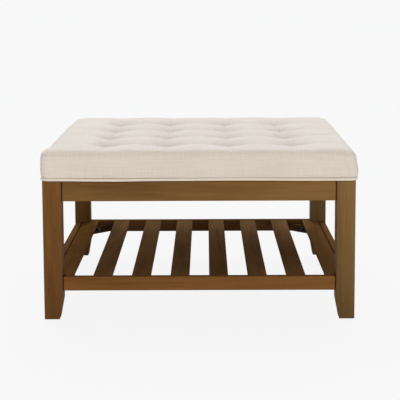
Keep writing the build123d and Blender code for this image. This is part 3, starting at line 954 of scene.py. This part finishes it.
def make_welt(material):
    """The piped cord along the bottom seam, a little wavy as sewn and sagging in places along the front."""
    core = welt_half - welt_corner
    path = welt_path()
    points, faces = [], []
    for place, out in path:
        wave = noise.noise(Vector((place.x, place.y, 0)) / welt_wave_length)
        ripple = noise.noise(Vector((place.x, place.y, welt_ripple_layer)) / welt_ripple_length)
        sag = between(welt_sags, place.x) * smooth_step(-place.y / welt_half)
        lean_share = smooth_step((abs(place.x) - welt_lean_start) / (core - welt_lean_start))
        middle_x = place.x - math.copysign(welt_leans[place.x > 0] * lean_share, place.x)
        centre = Vector((middle_x, place.y, welt_height - welt_wave * (0.5 + wave) - sag))
        radius = welt_radius * (1 + welt_ripple_share * ripple)
        for number in range(welt_sides):
            angle = 2 * math.pi * number / welt_sides
            offset = Vector((out.x * math.cos(angle), out.y * math.cos(angle), math.sin(angle)))
            points.append(centre + radius * offset)
    for ring in range(len(path)):
        this_ring = ring * welt_sides
        next_ring = (ring + 1) % len(path) * welt_sides
        for number in range(welt_sides):
            after = (number + 1) % welt_sides
            faces.append((this_ring + number, next_ring + number, next_ring + after, this_ring + after))
    finish_piece(new_piece("welt_piping", points, faces), material, "linen", "welt")


def foam_height(x, y):
    """Height of the foam's top, drawn down by each twine."""
    radius = math.hypot(line_distance(grid_x(x, y))[0], line_distance(y)[0])
    return foam_top - foam_pull * math.exp(-(radius / foam_pull_reach) ** 2)


def make_wadding(material):
    """The soft layer that fills the pillows, hollow for the foam block."""
    skin = cloth_thickness + layer_gap
    hollow_half = foam_half + layer_gap

    def outer(a, b):
        place = top_place(a, b)
        share = (top_half - skin) / top_half
        return Vector((place.x * share, place.y * share, place.z - skin))

    def side(down):
        def ring(a, b):
            place = wall_place(a, b, down, top_place(a, b).z)
            share = (half - skin) / half
            return Vector((place.x * share, place.y * share, max(place.z - skin, board_top)))
        return ring

    def ceiling(a, b):
        x, y = rounded_place(a, b, hollow_half, foam_edge)
        return Vector((x, y, foam_height(x, y) + layer_gap))

    rings = [side(down) for down in wadding_stations]
    rings.append(level_ring(skirt_half - skin, wall_corner - 2 * skin, board_top))
    heights = (board_top, board_top + hollow_ring_gap, foam_top - hollow_ring_gap, foam_top + layer_gap)
    rings += [level_ring(hollow_half, foam_edge, height) for height in heights]
    wadding = grid_piece("wadding_layer", hidden_cells, outer, rings, ceiling)
    finish_piece(wadding, material, "wadding", "wadding")


def make_foam(material):
    """The foam block, with eased edges and a slight pull at each twine."""
    def top(a, b):
        x, y = rounded_place(a, b, foam_half - foam_edge, foam_edge)
        return Vector((x, y, foam_height(x, y)))

    ease = foam_edge * (1 - math.sqrt(0.5))
    outline = (
        (foam_half - ease, foam_top - ease), (foam_half, foam_top - foam_edge),
        (foam_half, board_top + foam_edge), (foam_half - ease, board_top + ease),
        (foam_half - foam_edge, board_top),
    )
    rings = [level_ring(outline_half, foam_edge, height) for outline_half, height in outline]
    foam = grid_piece("foam_block", hidden_cells, top, rings, rings[-1])
    finish_piece(foam, material, "foam", "foam_pad")


def make_twines(material):
    """The tufting twines, each with a flat round knot at the bottom of its tuft."""
    points, faces = [], []
    angles = [2 * math.pi * number / knot_sides for number in range(knot_sides)]
    for y in tuft_lines:
        for x, tuft_x in zip(tuft_lines, drawn_columns(y)):
            seat = top_height(tuft_x, y)
            profile = [
                (x, 0.0, twine_foot), (x, twine_radius, twine_foot), (x, twine_radius, board_top),
                (tuft_x, twine_radius, seat),
            ]
            profile += [
                (tuft_x, wide * knot_radius, seat + high * knot_height) for wide, high in knot_shares
            ]
            start = len(points)
            for middle_x, radius, height in profile:
                points += [
                    (middle_x + radius * math.cos(angle), y + radius * math.sin(angle), height)
                    for angle in angles
                ]
            for ring in range(len(profile) - 1):
                low, high = start + ring * knot_sides, start + (ring + 1) * knot_sides
                for number in range(knot_sides):
                    after = (number + 1) % knot_sides
                    faces.append((low + number, low + after, high + after, high + number))
    twines = new_piece("tuft_stitches", points, faces)
    cleaner = bmesh.new()
    cleaner.from_mesh(twines.data)
    bmesh.ops.remove_doubles(cleaner, verts=cleaner.verts, dist=merge_distance)
    cleaner.to_mesh(twines.data)
    cleaner.free()
    finish_piece(twines, material, "twine", "tuft_twines")


def make_dust_cover(material):
    """The thin cloth under the board, stapled round its edge and sagging a little."""
    def sagging(a, b):
        sag = dust_sag * (1 - a ** dust_sag_power) * (1 - b ** dust_sag_power)
        ripple = noise.noise(Vector((a * dust_ripple_scale, b * dust_ripple_scale, dust_ripple_layer)))
        ripple *= (1 - a ** dust_ripple_power) * (1 - b ** dust_ripple_power)
        return a * dust_size / 2, b * dust_size / 2, dust_height - sag + dust_ripple * ripple

    steps = grid_steps(dust_cells)
    cloth = new_piece("dust_cloth", [sagging(a, b) for b in steps for a in steps], grid_faces(dust_cells))
    thick = cloth.modifiers.new("thickness", "SOLIDIFY")
    thick.thickness = dust_thickness
    apply_modifiers(cloth)
    finish_piece(cloth, material, "dust_cloth", "dust_cover")


def make_upholstery():
    """Every soft piece, with its material."""
    make_cushion(linen_material("linen", linen_tones))
    make_welt(linen_material("linen_piping", piping_tones))
    make_wadding(speckled_material("wadding_fibre"))
    make_foam(speckled_material("foam_cells"))
    make_dust_cover(speckled_material("dust_felt"))
    make_twines(twisted_material("twine_fibre"))


def background_mask(tree):
    """1 for rays that look at the background, straight, in a reflection or through glass."""
    path = tree.nodes.new("ShaderNodeLightPath")
    total = path.outputs["Is Camera Ray"]
    for name in ("Is Glossy Ray", "Is Transmission Ray"):
        node = tree.nodes.new("ShaderNodeMath")
        node.operation = "MAXIMUM"
        tree.links.new(total, node.inputs[0])
        tree.links.new(path.outputs[name], node.inputs[1])
        total = node.outputs[0]
    return total


def mix_shaders(tree, factor, first, second, output_kind):
    """Mixes two shader nodes by a factor into the tree's output."""
    mix = tree.nodes.new("ShaderNodeMixShader")
    output = tree.nodes.new(output_kind)
    tree.links.new(factor, mix.inputs[0])
    tree.links.new(first.outputs[0], mix.inputs[1])
    tree.links.new(second.outputs[0], mix.inputs[2])
    tree.links.new(mix.outputs[0], output.inputs["Surface"])


def make_world():
    """A plain sky that lights evenly, and the pale background for what looks at it."""
    world = bpy.data.worlds.new("studio")
    bpy.context.scene.world = world
    world.use_nodes = True
    tree = world.node_tree
    tree.nodes.clear()
    sky = tree.nodes.new("ShaderNodeBackground")
    sky.inputs["Color"].default_value = (*sky_tint, 1.0)
    sky.inputs["Strength"].default_value = sky_strength
    backdrop = tree.nodes.new("ShaderNodeBackground")
    backdrop.inputs["Color"].default_value = srgb(background_grey, background_grey, background_grey)
    mix_shaders(tree, background_mask(tree), sky, backdrop, "ShaderNodeOutputWorld")


def make_floor():
    """A wide pale floor that keeps the table's soft shadow."""
    corners = [(-1, -1), (1, -1), (1, 1), (-1, 1)]
    floor = new_piece("floor", [(x * floor_reach, y * floor_reach, 0) for x, y in corners], [(0, 1, 2, 3)])
    material = bpy.data.materials.new("floor_paint")
    material.use_nodes = True
    tree = material.node_tree
    tree.nodes.clear()
    paint = tree.nodes.new("ShaderNodeBsdfDiffuse")
    paint.inputs["Color"].default_value = (floor_albedo, floor_albedo, floor_albedo, 1.0)
    calm = tree.nodes.new("ShaderNodeEmission")
    calm.inputs["Color"].default_value = srgb(floor_calm_grey, floor_calm_grey, floor_calm_grey)
    share = tree.nodes.new("ShaderNodeMath")
    share.operation = "MULTIPLY"
    share.inputs[1].default_value = floor_calm_share
    tree.links.new(background_mask(tree), share.inputs[0])
    mix_shaders(tree, share.outputs[0], paint, calm, "ShaderNodeOutputMaterial")
    floor.data.materials.append(material)


def make_lights():
    """Wide soft lights, so far off that they light the floor evenly."""
    for name, strength, tint, disc, tilt, heading in sun_table:
        data = bpy.data.lights.new(name, "SUN")
        data.energy = strength
        data.color = tint
        data.angle = math.radians(disc)
        light = bpy.data.objects.new(name, data)
        bpy.context.scene.collection.objects.link(light)
        light.rotation_euler = (math.radians(-tilt), 0, math.radians(-heading))


bpy.context.scene.view_settings.view_transform = "Standard"
make_camera()
make_world()
make_floor()
make_lights()
dress_frame()
make_upholstery()
